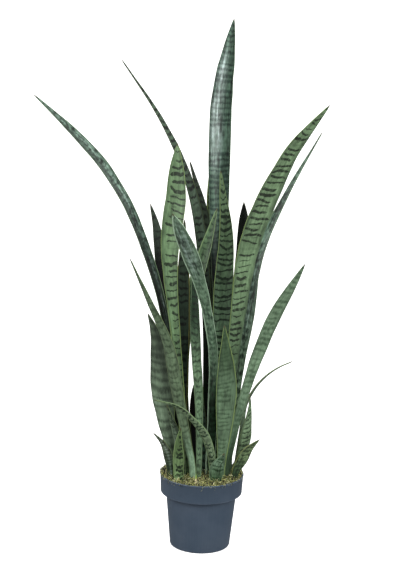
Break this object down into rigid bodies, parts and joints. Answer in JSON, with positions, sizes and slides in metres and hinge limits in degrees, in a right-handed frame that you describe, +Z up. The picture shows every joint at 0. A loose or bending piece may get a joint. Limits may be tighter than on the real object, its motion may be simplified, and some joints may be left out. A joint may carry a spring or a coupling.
{
  "type": "potted snake plant",
  "caption": "Upright snake plant with dark-banded sword leaves fanning out of a mossy top, in a tapered nursery pot with a deep rim band.",
  "frame": {"origin": "centre of the pot's flat base, on the surface that it stands on", "axes": "+Z up along the pot's axis and the leaves, +X to the plant's right in the front view, -Y towards the viewer of the front view"},
  "size_m": [0.6382, 0.3134, 1.1762],
  "materials": {
    "slate_plastic": "satin moulded plastic, dark slate blue-grey",
    "dark_soil": "moist potting soil, dark brown and crumbly",
    "olive_moss": "dry olive-yellow moss strands",
    "fresh_green_leaf": "satin waxy leaf, fresh green with dark cross-bands",
    "blue_green_leaf": "satin waxy leaf, blue-green with dark cross-bands",
    "dull_green_leaf": "satin waxy leaf, dull mottled green back",
    "dark_green_leaf": "satin waxy leaf, deep green with near-black cross-bands",
    "pale_shoot": "smooth young leaf, bright green above a cream foot"
  },
  "bodies": {
    "root": {"leaf_far_left": "blue_green_leaf", "leaf_left_broad": "fresh_green_leaf", "leaf_left_back": "dark_green_leaf", "leaf_left_leaning": "dull_green_leaf", "leaf_left_outer": "dull_green_leaf", "leaf_back_arching": "dark_green_leaf", "leaf_back_slim": "dark_green_leaf", "leaf_shaded_left": "dark_green_leaf", "leaf_centre_left": "blue_green_leaf", "leaf_centre_slim": "blue_green_leaf", "leaf_front_centre": "blue_green_leaf", "leaf_tallest": "blue_green_leaf", "leaf_behind_tallest": "dark_green_leaf", "leaf_centre_right": "fresh_green_leaf", "leaf_front_right": "fresh_green_leaf", "leaf_right_broad": "fresh_green_leaf", "leaf_right_back": "blue_green_leaf", "leaf_right_low": "blue_green_leaf", "leaf_shaded_right": "dark_green_leaf", "leaf_shaded_low": "dark_green_leaf", "leaf_thin_right": "dull_green_leaf", "leaf_small_right": "dull_green_leaf", "leaf_small_far_right": "dull_green_leaf", "leaf_small_arching": "dull_green_leaf", "leaf_small_left": "dull_green_leaf", "leaf_small_front_left": "fresh_green_leaf", "leaf_small_far_left": "dull_green_leaf", "leaf_small_front": "blue_green_leaf", "leaf_small_centre": "dark_green_leaf", "leaf_small_back_left": "dull_green_leaf", "leaf_small_back": "fresh_green_leaf", "leaf_small_shaded": "dark_green_leaf", "leaf_small_back_right": "dull_green_leaf", "young_shoot": "pale_shoot", "pot": "slate_plastic", "soil": "dark_soil", "moss": "olive_moss"}
  },
  "joints": []
}
